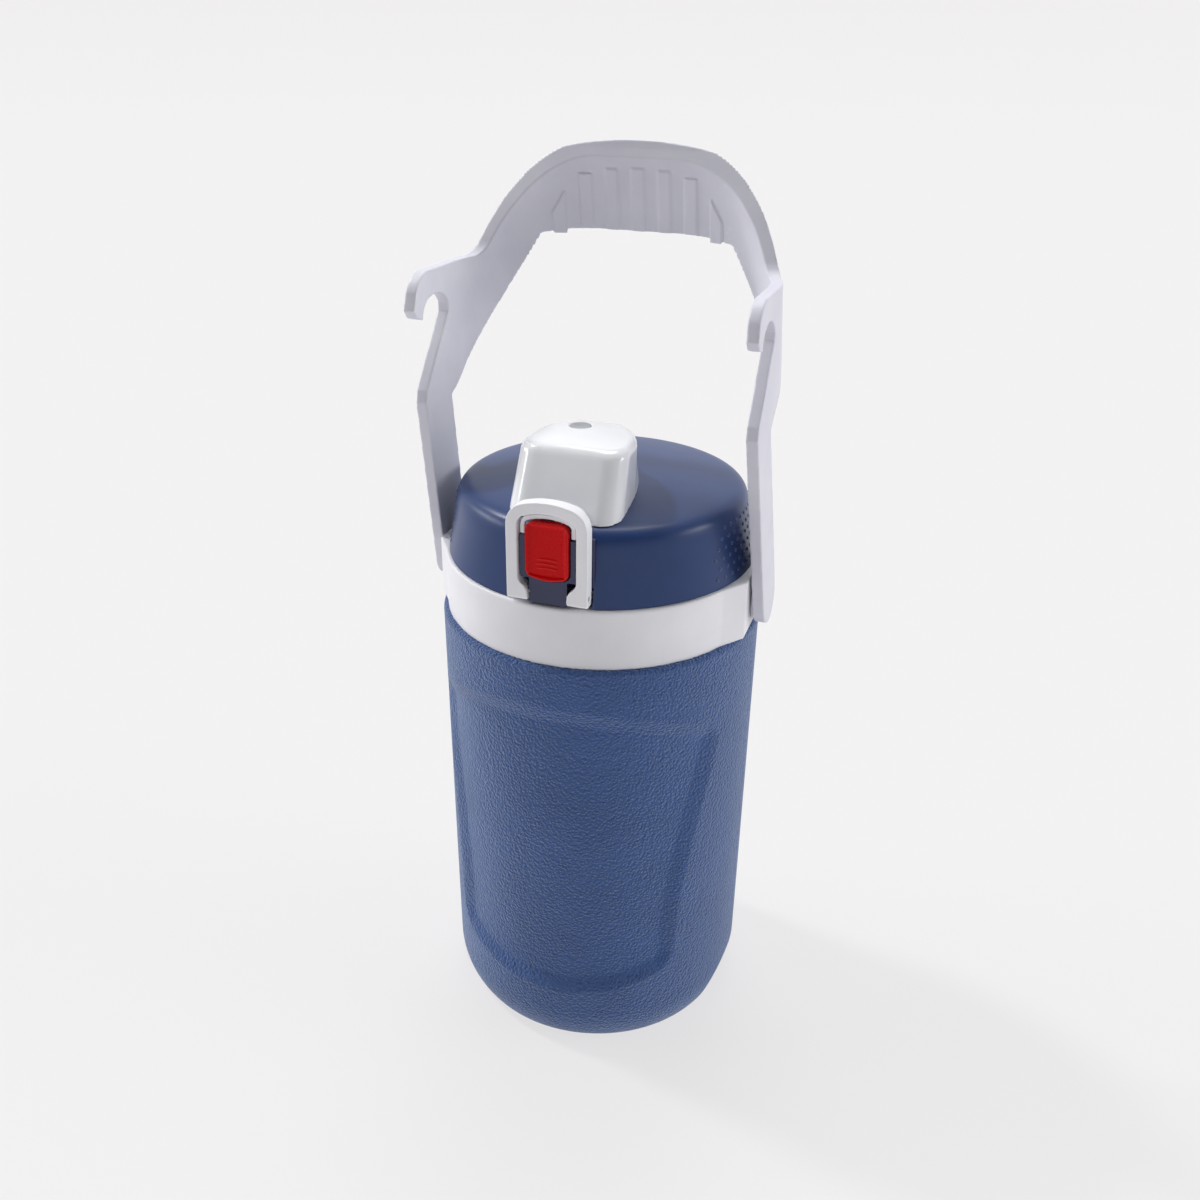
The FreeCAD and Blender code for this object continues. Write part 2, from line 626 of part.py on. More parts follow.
def button_outline(half, low):
    """Button seen from the front: bowed lower edge, rounded upper corners."""
    minus = negated(half)
    return [(minus, low + " + 4.4", minus + " + 0.9", low + " + 2.0"),
            (minus + " + 3.4", low + " + 0.9", "0", low),
            (half + " - 3.4", low + " + 0.9", half + " - 0.9", low + " + 2.0"),
            (half, low + " + 4.4"),
            (half, "button_high - 4.0", half + " - 1.2", "button_high - 1.2"),
            (half + " - 4.0", "button_high"),
            (minus + " + 4.0", "button_high", minus + " + 1.2", "button_high - 1.2"),
            (minus, "button_high - 4.0")]


def button():
    return padded("release_button", "XZ_Plane", button_outline("button_half", "button_low"),
                  "button_front - button_thick", "button_front")


def coil(name, radius, wire, pitch, turns, base, direction):
    """Helical spring of round wire; its ends stay open."""
    helix = Part.makeLongHelix(pitch, pitch * turns, radius)
    start = Vector(radius, 0, 0)
    section = Part.Wire([Part.makeCircle(wire, start, Vector(0, 1, 0))])
    body = Part.Wire(helix.Edges).makePipeShell([section], True, True)
    feature = computed(name, body)
    feature.Placement = FreeCAD.Placement(base, FreeCAD.Rotation(Vector(0, 0, 1), direction))
    return feature


def springs():
    rear = DIMS["housing_back"] + DIMS["housing_plate"]
    button_back = DIMS["button_front"] - DIMS["button_thick"]
    wire = 0.3
    free = button_back - rear - 2 * wire - 0.1
    turns = 2.5
    button_spring = coil("button_spring", 3.2, wire, free / turns, turns,
                         Vector(0, -rear - wire - 0.05, 254.0), Vector(0, -1, 0))
    cap_spring = coil("cap_spring", DIMS["hinge_pin"] + 0.6, 0.45, 1.05, 4.6,
                      Vector(-2.42, DIMS["hinge_y"], DIMS["hinge_z"]), Vector(1, 0, 0))
    return [button_spring, cap_spring]


def bail():
    """Lock loop: basket arch over the button, feet that turn in to the axle."""
    arch = padded("loop_plate", "XZ_Plane", [
        ("- loop_half", "loop_low"), ("- foot_gap", "loop_low"), ("- foot_gap", "237.0",
                                                                 "- 9.3", "240.0"),
        ("- 11.0", "241.6", "- 12.0", "243.0"), ("- loop_half + loop_leg", "245.2"),
        ("- loop_half + loop_leg", "loop_spring", "- 10.94", "270.07"),
        ("- 9.15", "270.97", "0", "272.45"), ("9.15", "270.97", "10.94", "270.07"),
        ("loop_half - loop_leg", "loop_spring"), ("loop_half - loop_leg", "245.2", "12.0", "243.0"),
        ("11.0", "241.6", "9.3", "240.0"), ("foot_gap", "237.0"), ("foot_gap", "loop_low"),
        ("loop_half", "loop_low"), ("loop_half", "loop_spring", "14.4", "273.23"),
        ("10.64", "275.53", "0", "277.2"), ("- 10.64", "275.53", "- 14.4", "273.23"),
        ("- loop_half", "loop_spring")], "loop_back", "loop_front")
    holes = rod("loop_axle_hole", "x", "loop_axle + 0.05", "40.0",
                ("- 20.0", "- loop_axis_y", "loop_axis_z"))
    drilled = cut("loop_drilled", arch, holes)
    return rounded("lock_loop", drilled, foot_rounding)


def foot_rounding(edge):
    """Rounds the four long corner edges under the loop's feet."""
    limits = edge.BoundBox
    along_x = limits.XLength > 3.0 and limits.YLength < 0.01 and limits.ZLength < 0.01
    return 1.3 if along_x and abs(limits.ZMin - DIMS["loop_low"]) < 0.01 else None


def loop_axle():
    return rod("loop_axle", "x", "loop_axle", "33.6", ("- 16.8", "- loop_axis_y", "loop_axis_z"))


# ---------------------------------------------------------------- flip cap

def cap_section(front, half, side, back, back_half):
    """Cap outline at one height: straight front, round corners, sides that bow in to the back."""
    right = [(half + " - 9.5", negated(front)), (half, negated(front) + " + 9.5"),
             (half + " - 1.0", side), (back_half, back)]
    corners = right + [(negated(u), v) for u, v in reversed(right)]
    bulges = {0: 2.78, 2: 1.4, 4: 1.4, 6: 2.78}
    section = []
    for index, corner in enumerate(corners):
        if index in bulges:
            following = corners[(index + 1) % len(corners)]
            start = Vector(amount(corner[0]), amount(corner[1]), 0)
            run = Vector(amount(following[0]), amount(following[1]), 0) - start
            outward = Vector(run.y, -run.x, 0).normalize() * bulges[index]
            through = start + run * 0.5 + outward
            corner = corner + (f"{through.x:.4f}", f"{through.y:.4f}")
        section.append(corner)
    return section


def cap_solid(name, wall, rim):
    """Tapered block that leans back; the rim round its top is rounded off in steps."""
    roof = f"cap_top - {wall}"
    heights = [("cap_base", 0.0), (f"{roof} - {rim}", 0.0), (f"{roof} - {0.62 * rim:.3f}", 0.08 * rim),
               (f"{roof} - {0.29 * rim:.3f}", 0.29 * rim), (f"{roof} - {0.08 * rim:.3f}", 0.62 * rim),
               (roof, rim)]
    sections = []
    for height, inset in heights:
        share = (amount(height) - DIMS["cap_base"]) / (DIMS["cap_top"] - DIMS["cap_base"])
        shrink = inset + amount(wall)
        sections.append((height, cap_section(
            "cap_front " + signed(-DIMS["cap_lean"] * share - shrink),
            "cap_front_half " + signed(-DIMS["cap_draft"] * share - shrink),
            f"{-30.0 + 8.0 * share:.3f}",
            "cap_back " + signed(-DIMS["cap_back_lean"] * share - shrink),
            "cap_back_half " + signed(-4.5 * share - shrink))))
    return loft(name, "XY_Plane", sections)


def flip_cap():
    outer = cap_solid("cap_outer", "0", 3.0)
    inner = cap_solid("cap_inner", "cap_wall", 2.0)
    visor = padded("tongue_visor", "XZ_Plane", arch_outline("tongue_shoulder"),
                   "cap_front - 6.0", "tongue_front")
    lip = padded("tongue_lip", "XZ_Plane", arch_outline("tongue_low"),
                 "tongue_front - 1.8", "tongue_front")
    knuckles = []
    for name, low in (("left_knuckle", "- 12.4"), ("right_knuckle", "8.4")):
        knuckles.append(rod(name, "x", "hinge_knuckle", "4.0", (low, "hinge_y", "hinge_z")))
    hollow = cut("cap_hollow", outer, inner)
    blank = fuse("cap_blank", hollow, visor, lip, *knuckles)
    dome = revolved("cap_dome_tool", [
        ("0", "lid_crown + 0.3"), ("30.0", "lid_crown - 0.8"),
        ("lid_radius - 7.9", "lid_shoulder + 0.4"), ("lid_radius - 4.4", "lid_shoulder - 2.6"),
        ("lid_radius - 3.4", "lid_shoulder - 6.8"), ("lid_radius - 3.4", "240.0"), ("0", "240.0")])
    hole = rod("cap_pin_hole", "x", "hinge_pin + 0.05", "40.0", ("- 20.0", "hinge_y", "hinge_z"))
    ear_room = box("cap_ear_room", ("- 8.4", "hinge_y - 5.0", "cap_base"),
                   ("8.4", "cap_back + 4.0", "hinge_z + hinge_knuckle + 1.4"))
    return cut("flip_cap", blank, dome, hole, ear_room)


def arch_outline(foot):
    """Arch of the cap's tongue seen from the front; foot names the height its legs end at."""
    right = [("tongue_half", foot),
             ("tongue_half", "tongue_shoulder", "10.94", "tongue_shoulder + 2.35"),
             ("8.93", "tongue_shoulder + 3.8", "0", "tongue_high")]
    left = [("- 8.93", "tongue_shoulder + 3.8", "- 10.94", "tongue_shoulder + 2.35"),
            ("- tongue_half", "tongue_shoulder"), ("- tongue_half", foot)]
    inner = "tongue_half - tongue_wall"
    if foot == "tongue_shoulder":
        right = right[1:]
        left = left[:-1]
        return right + left + [
            (negated(inner), foot, "- 9.32", "tongue_shoulder + 1.18"),
            ("- 8.32", "tongue_shoulder + 1.9", "0", "tongue_high - tongue_wall"),
            ("8.32", "tongue_shoulder + 1.9", "9.32", "tongue_shoulder + 1.18"), (inner, foot)]
    return right + left + [
        (negated(inner), foot), (negated(inner), "tongue_shoulder", "- 9.32", "tongue_shoulder + 1.18"),
        ("- 8.32", "tongue_shoulder + 1.9", "0", "tongue_high - tongue_wall"),
        ("8.32", "tongue_shoulder + 1.9", "9.32", "tongue_shoulder + 1.18"),
        (inner, "tongue_shoulder"), (inner, foot)]


def cap_plug():
    """Soft seal under the cap's roof that closes the spout."""
    plug = revolved("plug_turning", [
        ("0", "spout_top - 1.8"), ("6.9", "spout_top - 1.8"), ("7.6", "spout_top + 0.3"),
        ("11.4", "spout_top + 0.3"), ("11.4", "spout_top + 1.9"), ("9.0", "cap_top - cap_wall"),
        ("0", "cap_top - cap_wall")])
    DOC.recompute()
    seal = DOC.addObject("Part::Feature", "cap_seal")
    seal.Label = "cap_seal"
    seal.Shape = plug.Shape.copy()
    seal.Placement = FreeCAD.Placement(Vector(0, -DIMS["spout_y"], 0), FreeCAD.Rotation())
    bind(seal, "Placement.Base.y", "- spout_y")
    return seal


def hinge_pin():
    return rod("cap_hinge_pin", "x", "hinge_pin", "24.0", ("- 12.0", "hinge_y", "hinge_z"))


# ---------------------------------------------------------------- assembly and export

def build():
    shell, hollow = jacket()
    pieces = [shell, foam(hollow), bottle(), fill_plug(), collar(), *pivot_pins(), handle(),
              lid_shell(), *lid_inside(), spout(), latch_housing(), button(), *springs(),
              bail(), loop_axle(), flip_cap(), cap_plug(), hinge_pin()]
    DOC.recompute()
    return pieces


def check(pieces):
    """Stops when any object failed or a piece has no sound solid."""
    for thing in DOC.Objects:
        bad = [word for word in thing.State if word in ("Invalid", "Error")]
        if bad:
            raise RuntimeError(f"{thing.Name}: {thing.State}")
    for piece in pieces:
        if piece.Shape.isNull() or not piece.Shape.isValid() or not piece.Shape.Solids:
            raise RuntimeError(f"{piece.Label} has no valid solid")


def export(pieces):
    os.makedirs("parts", exist_ok=True)
    for piece in pieces:
        piece.Shape.exportStep(f"parts/{piece.Label}.step")
        solids = len(piece.Shape.Solids)
        print(f"{piece.Label:18s} {piece.Shape.Volume / 1000.0:9.2f} cm3  solids {solids}")


PIECES = build()
check(PIECES)
export(PIECES)
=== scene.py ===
"""Looks of the insulated water jug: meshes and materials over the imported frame.

Metres, +Z up, the push button at the front on -Y.
"""
import json
import math

import bmesh
import bpy
from mathutils import Matrix, Vector


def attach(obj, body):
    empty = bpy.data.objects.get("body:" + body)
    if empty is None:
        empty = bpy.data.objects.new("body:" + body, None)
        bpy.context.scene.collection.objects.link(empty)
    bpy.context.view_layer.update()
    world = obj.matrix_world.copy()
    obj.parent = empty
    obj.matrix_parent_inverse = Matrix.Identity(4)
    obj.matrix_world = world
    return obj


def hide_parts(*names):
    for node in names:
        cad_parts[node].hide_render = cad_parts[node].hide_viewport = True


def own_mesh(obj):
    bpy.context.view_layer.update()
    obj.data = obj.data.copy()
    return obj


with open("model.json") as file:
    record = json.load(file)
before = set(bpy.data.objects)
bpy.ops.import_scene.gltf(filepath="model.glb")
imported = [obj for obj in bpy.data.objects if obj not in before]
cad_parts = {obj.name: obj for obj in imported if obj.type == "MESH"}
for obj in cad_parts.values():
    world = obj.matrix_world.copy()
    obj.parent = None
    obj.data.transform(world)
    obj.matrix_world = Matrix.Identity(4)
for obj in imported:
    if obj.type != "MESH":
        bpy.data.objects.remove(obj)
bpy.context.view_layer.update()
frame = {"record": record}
MM = 0.001


# ---------------------------------------------------------------- small helpers

def blended(low, high, value):
    """Smooth step from 0 at low to 1 at high."""
    share = min(max((value - low) / (high - low), 0.0), 1.0)
    return share * share * (3.0 - 2.0 * share)


def table(points, value):
    """Straight-line look-up in (key, number) pairs sorted by key."""
    if value <= points[0][0]:
        return points[0][1]
    for (low, first), (high, second) in zip(points, points[1:]):
        if value <= high:
            return first + (second - first) * (value - low) / (high - low)
    return points[-1][1]


def smooth_path(points, steps):
    """Catmull-Rom curve through (radius, height) points."""
    path = []
    padded = [points[0]] + list(points) + [points[-1]]
    for index in range(1, len(padded) - 2):
        before, start, end, after = padded[index - 1:index + 3]
        for step in range(steps):
            t = step / steps
            path.append(tuple(
                0.5 * (2 * b + (c - a) * t + (2 * a - 5 * b + 4 * c - d) * t * t
                       + (3 * b - a - 3 * c + d) * t ** 3)
                for a, b, c, d in zip(before, start, end, after)))
    path.append(tuple(points[-1]))
    return path


def mesh_object(name, vertices, faces):
    """Linked object from points in millimetres, with its faces turned outwards."""
    mesh = bpy.data.meshes.new(name)
    mesh.from_pydata([Vector(point) * MM for point in vertices], [], faces)
    work = bmesh.new()
    work.from_mesh(mesh)
    bmesh.ops.recalc_face_normals(work, faces=work.faces)
    work.to_mesh(mesh)
    work.free()
    mesh.shade_smooth()
    piece = bpy.data.objects.new(name, mesh)
    bpy.context.scene.collection.objects.link(piece)
    return piece


def ring_stack(name, rings):
    """Closed skin through rings of equal length; a last ring joins the first one."""
    vertices = [point for ring in rings for point in ring]
    count = len(rings[0])
    faces = []
    for row in range(len(rings)):
        upper = (row + 1) % len(rings)
        for column in range(count):
            beside = (column + 1) % count
            faces.append((row * count + column, row * count + beside,
                          upper * count + beside, upper * count + column))
    return mesh_object(name, vertices, faces)


def lathe_rings(profile, count, centre=(0.0, 0.0)):
    """One level ring of points for each (radius, height) of a turned shape."""
    rings = []
    for radius, height in profile:
        ring = []
        for step in range(count):
            turn = 2 * math.pi * step / count
            ring.append((centre[0] + radius * math.sin(turn),
                         centre[1] - radius * math.cos(turn), height))
        rings.append(ring)
    return rings


def evaluated(piece):
    """Applies the modifiers of a piece to its mesh."""
    graph = bpy.context.evaluated_depsgraph_get()
    mesh = bpy.data.meshes.new_from_object(piece.evaluated_get(graph))
    piece.modifiers.clear()
    piece.data = mesh
    mesh.shade_smooth()
    return piece


def box_cutter(name, low, high):
    corners = [(x, y, z) for x in (low[0], high[0]) for y in (low[1], high[1])
               for z in (low[2], high[2])]
    faces = [(0, 1, 3, 2), (4, 6, 7, 5), (0, 4, 5, 1), (2, 3, 7, 6), (0, 2, 6, 4), (1, 5, 7, 3)]
    return mesh_object(name, corners, faces)


def round_cutter(name, centre, radius, low, high, count=72):
    profile = [(radius, low), (radius, high)]
    rings = lathe_rings(profile, count, centre)
    vertices = rings[0] + rings[1]
    faces = [tuple(range(count)), tuple(range(count, 2 * count))]
    for step in range(count):
        beside = (step + 1) % count
        faces.append((step, beside, count + beside, count + step))
    return mesh_object(name, vertices, faces)


def subtract(piece, tool):
    """Cuts a closed tool out of a piece and deletes the tool."""
    rule = piece.modifiers.new("cut", "BOOLEAN")
    rule.operation = "DIFFERENCE"
    rule.solver = "EXACT"
    rule.object = tool
    evaluated(piece)
    bpy.data.objects.remove(tool, do_unlink=True)


def softened(name, node, voxel, rounds, tools=()):
    """Copy of a CAD node with evenly meshed, softly rounded edges."""
    mesh = bpy.data.objects[node].data.copy()
    piece = bpy.data.objects.new(name, mesh)
    bpy.context.scene.collection.objects.link(piece)
    for tool in tools:
        subtract(piece, tool)
    remesh = piece.modifiers.new("even", "REMESH")
    remesh.mode = "VOXEL"
    remesh.voxel_size = voxel * MM
    remesh.use_smooth_shade = True
    soften = piece.modifiers.new("soften", "SMOOTH")
    soften.factor = 0.5
    soften.iterations = rounds
    return evaluated(piece)


def placed(piece, body, slot, *nodes):
    """Gives a piece its body and material, and hides the CAD nodes it stands for."""
    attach(piece, body)
    if nodes:
        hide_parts(*nodes)
    piece.data.materials.clear()
    piece.data.materials.append(LOOKS[slot])
    return piece


# ---------------------------------------------------------------- materials

def wire(tree, source, output, target, entry):
    tree.links.new(source.outputs[output], target.inputs[entry])


def node(tree, kind, **values):
    made = tree.nodes.new(kind)
    for key, value in values.items():
        if hasattr(made, key):
            setattr(made, key, value)
        else:
            made.inputs[key.replace("_", " ")].default_value = value
    return made


def plastic(name, deep, pale, rough, grain, depth, gloss=0.5, coat=0.0):
    """Moulded plastic: faint cloudy colour, a painted highlight that makes sharp edges paler, and a fine
    surface grain.
    """
    look = bpy.data.materials.new(name)
    look.use_nodes = True
    tree = look.node_tree
    shader = tree.nodes["Principled BSDF"]
    shader.inputs["Specular IOR Level"].default_value = gloss
    shader.inputs["Coat Weight"].default_value = coat
    shader.inputs["Coat Roughness"].default_value = 0.08
    place = node(tree, "ShaderNodeTexCoord")
    cloud = node(tree, "ShaderNodeTexNoise", Scale=38.0, Detail=4.0)
    wire(tree, place, "Object", cloud, "Vector")
    shade = node(tree, "ShaderNodeValToRGB")
    shade.color_ramp.elements[0].position = 0.35
    shade.color_ramp.elements[0].color = (*deep, 1.0)
    shade.color_ramp.elements[1].position = 0.68
    shade.color_ramp.elements[1].color = (*pale, 1.0)
    wire(tree, cloud, "Fac", shade, "Fac")
    # painted highlight: sharp convex edges are mixed towards a paler colour
    shape = node(tree, "ShaderNodeNewGeometry")
    edge = node(tree, "ShaderNodeMapRange")
    for entry, value in (("From Min", 0.52), ("From Max", 0.60), ("To Min", 0.0), ("To Max", 0.22)):
        edge.inputs[entry].default_value = value
    wire(tree, shape, "Pointiness", edge, "Value")
    edge_highlight = node(tree, "ShaderNodeMix", data_type="RGBA")
    edge_highlight.inputs[7].default_value = tuple(min(1.0, 0.35 + 0.75 * part) for part in pale) + (1.0,)
    wire(tree, edge, "Result", edge_highlight, 0)
    tree.links.new(shade.outputs["Color"], edge_highlight.inputs[6])
    tree.links.new(edge_highlight.outputs[2], shader.inputs["Base Color"])
    fine = node(tree, "ShaderNodeTexNoise", Scale=grain, Detail=3.0)
    wire(tree, place, "Object", fine, "Vector")
    spread = node(tree, "ShaderNodeMapRange")
    spread.inputs["To Min"].default_value = rough - 0.05
    spread.inputs["To Max"].default_value = rough + 0.05
    wire(tree, fine, "Fac", spread, "Value")
    wire(tree, spread, "Result", shader, "Roughness")
    bump = node(tree, "ShaderNodeBump", Strength=0.35, Distance=depth)
    wire(tree, fine, "Fac", bump, "Height")
    wire(tree, bump, "Normal", shader, "Normal")
    return look


def grained(name, deep, pale):
    """Moulded leather grain: pebbles with creases between them over a fine tooth."""
    look = plastic(name, deep, pale, 0.40, 2600.0, 0.00006, gloss=0.35)
    tree = look.node_tree
    shader = tree.nodes["Principled BSDF"]
    place = next(made for made in tree.nodes if made.type == "TEX_COORD")
    shader.inputs["Sheen Weight"].default_value = 0.5
    shader.inputs["Sheen Roughness"].default_value = 0.35
    shader.inputs["Sheen Tint"].default_value = (0.72, 0.84, 1.0, 1.0)
    drift = node(tree, "ShaderNodeTexNoise", Scale=420.0, Detail=2.0)
    wire(tree, place, "Object", drift, "Vector")
    bend = node(tree, "ShaderNodeVectorMath", operation="MULTIPLY_ADD")
    bend.inputs[1].default_value = (0.0007, 0.0007, 0.0007)
    wire(tree, drift, "Color", bend, 0)
    wire(tree, place, "Object", bend, 2)
    pebble = node(tree, "ShaderNodeTexVoronoi", feature="SMOOTH_F1", Scale=820.0)
    pebble.inputs["Smoothness"].default_value = 0.6
    wire(tree, bend, "Vector", pebble, "Vector")
    tooth = node(tree, "ShaderNodeTexNoise", Scale=900.0, Detail=3.0, Roughness=0.6)
    wire(tree, place, "Object", tooth, "Vector")
    height = node(tree, "ShaderNodeMath", operation="MULTIPLY_ADD")
    height.inputs[1].default_value = -1.0
    wire(tree, pebble, "Distance", height, 0)
    wire(tree, tooth, "Fac", height, 2)
    bump = node(tree, "ShaderNodeBump", Strength=1.0, Distance=0.0010)
    wire(tree, height, "Value", bump, "Height")
    wire(tree, bump, "Normal", shader, "Normal")
    return look


def metal(name):
    look = plastic(name, (0.52, 0.53, 0.55), (0.66, 0.67, 0.69), 0.28, 1800.0, 0.00002)
    look.node_tree.nodes["Principled BSDF"].inputs["Metallic"].default_value = 1.0
    return look


LOOKS = {
    "jacket_blue": grained("jacket_blue", (0.036, 0.092, 0.270), (0.043, 0.106, 0.305)),
    "band_white": plastic("band_white", (0.74, 0.74, 0.78), (0.79, 0.79, 0.83), 0.42, 1500.0, 0.00003),
    "handle_white": plastic("handle_white", (0.60, 0.60, 0.68), (0.66, 0.66, 0.73), 0.45, 1500.0, 0.00003),
    "lid_navy": plastic("lid_navy", (0.018, 0.042, 0.135), (0.023, 0.050, 0.156), 0.34, 1900.0, 0.00004,
                        gloss=0.3),
    "latch_navy": plastic("latch_navy", (0.013, 0.018, 0.070), (0.020, 0.026, 0.088), 0.25, 900.0, 0.00001),
    "button_red": plastic("button_red", (0.50, 0.0003, 0.001), (0.58, 0.0004, 0.002), 0.28, 900.0, 0.00001,
                          gloss=0.12),
    "cap_white": plastic("cap_white", (0.82, 0.83, 0.86), (0.87, 0.88, 0.90), 0.16, 700.0, 0.00001,
                         coat=0.5),
    "loop_white": plastic("loop_white", (0.78, 0.78, 0.82), (0.83, 0.83, 0.86), 0.36, 1200.0, 0.00002),
    "liner_white": plastic("liner_white", (0.78, 0.79, 0.81), (0.84, 0.85, 0.86), 0.22, 800.0, 0.00001),
    "foam": plastic("foam", (0.78, 0.70, 0.46), (0.84, 0.77, 0.55), 0.80, 700.0, 0.00020),
    "seal_grey": plastic("seal_grey", (0.34, 0.36, 0.38), (0.42, 0.44, 0.46), 0.50, 900.0, 0.00003),
    "spring_steel": metal("spring_steel"),
}
SLOT_OF = {part["node"]: part["material_slot"] for part in frame["record"]["subparts"]}


# ---------------------------------------------------------------- jacket

JACKET_TOP = 205.8
SHOULDER_START = 203.6
JACKET_WALL = 2.6
JACKET_COLUMNS = 576
PANEL_DEPTH = 3.0
PANEL_CORNER = 9.5
DEGREE_WIDTH = math.radians(1.0) * 71.5


def jacket_radius(height):
    if height < 20.0:
        return 71.0 - 5.8 * ((20.0 - height) / 20.0) ** 2.3
    if height < SHOULDER_START:
        return table([(20, 71.0), (46, 71.2), (SHOULDER_START, 72.15)], height)
    rounding = JACKET_TOP - SHOULDER_START
    return 72.15 - rounding * (1.0 - math.sqrt(max(0.0, 1.0 - ((height - SHOULDER_START) / rounding) ** 2)))


def panel_half_angle(height):
    """Degrees from the panel's middle to its side edge, which flares and then runs straight."""
    flare = 49.3 + 15.9 * (max(0.0, height - 55.0) / 100.0) ** 1.7
    straight = 62.6 + 0.165 * (height - 145.0)
    return flare if height < 145.0 else straight


def panel_depth(azimuth, height):
    """How deep the pressed-in panel lies under the jacket's round surface."""
    turn = abs((azimuth + 180.0) % 360.0 - 180.0)
    turn = min(turn, 180.0 - turn)
    side = (panel_half_angle(height) - turn) * DEGREE_WIDTH
    top = 187.0 - 0.0045 * turn * turn - height
    bottom = height - (30.8 + 0.005 * turn * turn)
    end = min(top, bottom)
    inward = min(side, end)
    if side < PANEL_CORNER and end < PANEL_CORNER:
        inward = PANEL_CORNER - math.hypot(PANEL_CORNER - side, PANEL_CORNER - end)
    width = table([(30, 6.5), (60, 7.5), (160, 9.0)], height)
    share = min(max(inward / width, 0.0), 1.0)
    return PANEL_DEPTH * (0.7 * share + 0.3 * share * share * (3.0 - 2.0 * share))


def jacket_point(azimuth, height, inset=0.0):
    """Point of the jacket's skin, with its panels, flat foot sides and mould seam."""
    turn = math.radians(azimuth)
    radius = jacket_radius(height) - panel_depth(azimuth, height) - inset
    across = abs(math.sin(turn))
    if height < 26.0 and across > 0.5:
        reach = (61.2 - inset + (height + 1.0) * 0.475) / across
        gap = radius - reach
        if gap > -0.8:
            radius -= 0.5 * (gap + math.sqrt(gap * gap + 0.30)) - 0.05
    seam = abs(abs((azimuth + 180.0) % 360.0 - 180.0) - 90.0) * 1.25
    if inset == 0.0 and height > 20.0:
        radius += 0.16 * max(0.0, 1.0 - seam / 1.1)
    radius = min(radius, 72.19)
    return (radius * math.sin(turn), -radius * math.cos(turn), height)


def jacket():
    turns = [360.0 * step / JACKET_COLUMNS for step in range(JACKET_COLUMNS)]
    heights = [0.0, 0.35, 0.8, 1.4, 2.0] + [2.8 + 0.95 * step for step in range(212)]
    heights = [height for height in heights if height < 203.5]
    heights += [SHOULDER_START, 204.2, 204.7, 205.1, 205.4, 205.62, 205.76, JACKET_TOP]
    rings = [[jacket_point(turn, height) for turn in turns] for height in heights]
    mouth = [(66.0, JACKET_TOP), (58.4, JACKET_TOP), (58.4, 203.2)]
    rings += lathe_rings(mouth, JACKET_COLUMNS)
    inner = [203.2 - 4.0 * step for step in range(45)]
    rings += [[jacket_point(turn, height, JACKET_WALL) for turn in turns] for height in inner]
    foot = [(55.0, 5.6), (8.3, 5.6), (8.3, 3.0), (53.4, 3.0), (54.0, 2.7), (55.4, 0.4), (56.2, 0.0)]
    rings += lathe_rings(foot, JACKET_COLUMNS)
    shell = ring_stack("jacket", rings)
    placed(shell, "jug", "jacket_blue", "outer_shell")


# ---------------------------------------------------------------- lid

LID_WALL = [(68.0, 232.7), (68.36, 233.1), (67.2, 238.5), (66.0, 244.5), (65.05, 250.0), (64.5, 254.5),
            (63.9, 258.0), (62.7, 261.0), (60.6, 263.1), (57.2, 264.4), (50.0, 265.6), (40.0, 266.8),
            (28.0, 267.75), (14.0, 268.3), (3.0, 268.5)]
HINGE_Y = 3.4 * MM


def lid():
    """Dome with its window and spout hole, a plug at its centre and the cap's hinge ears."""
    outer = smooth_path(LID_WALL, 7)
    inner = [(3.0, 266.1), (28.0, 265.3), (45.0, 263.6), (57.0, 261.9), (60.8, 259.0), (62.0, 254.0),
             (62.6, 250.0), (65.9, 232.7)]
    rings = lathe_rings(outer + inner, 288)
    shell = ring_stack("lid_dome", rings)
    subtract(shell, box_cutter("window", (-18.0, -80.0, 225.0), (18.0, -62.2, 262.2)))
    subtract(shell, round_cutter("spout_gap", (0.0, -26.0), 11.2, 255.0, 280.0))
    placed(shell, "lid", "lid_navy")
    hub_rings = lathe_rings([(3.05, 268.5), (3.05, 266.1), (0.01, 266.1), (0.01, 268.52)], 48)
    placed(ring_stack("lid_hub", hub_rings), "lid", "lid_navy")
    ears = softened("hinge_ears", "lid_shell", 0.5, 1)
    keep = bmesh.new()
    keep.from_mesh(ears.data)
    away = [spot for spot in keep.verts
            if abs(spot.co.x) > 9.5 * MM or abs(spot.co.y - HINGE_Y) > 7.5 * MM
            or spot.co.z < 266.0 * MM]
    bmesh.ops.delete(keep, geom=away, context="VERTS")
    bmesh.ops.holes_fill(keep, edges=[edge for edge in keep.edges if edge.is_boundary], sides=0)
    bmesh.ops.recalc_face_normals(keep, faces=keep.faces)
    keep.to_mesh(ears.data)
    keep.free()
    placed(ears, "lid", "lid_navy", "lid_shell")


def lid_radius(height):
    return table([(z, r) for r, z in LID_WALL[1:8]], height)


def grip_dots():
    """Staggered round studs on both sides of the lid."""
    vertices = []
    faces = []
    rows = 6
    for side in (90.0, -90.0):
        for row in range(rows):
            height = 236.6 + 4.1 * row
            reach = 29.5 - 5.5 * row / (rows - 1)
            shift = 2.2 if row % 2 else 0.0
            column = -8
            while column <= 8:
                offset = column * 4.4 + shift
                column += 1
                if abs(offset) > reach:
                    continue
                azimuth = math.radians(side + offset)
                out = Vector((math.sin(azimuth), -math.cos(azimuth), 0.18)).normalized()
                along = Vector((math.cos(azimuth), math.sin(azimuth), 0.0))
                upward = out.cross(along)
                radius = lid_radius(height)
                centre = Vector((radius * math.sin(azimuth), -radius * math.cos(azimuth), height))
                add_stud(vertices, faces, centre, out, along, upward)
    placed(mesh_object("grip_studs", vertices, faces), "lid", "lid_navy")


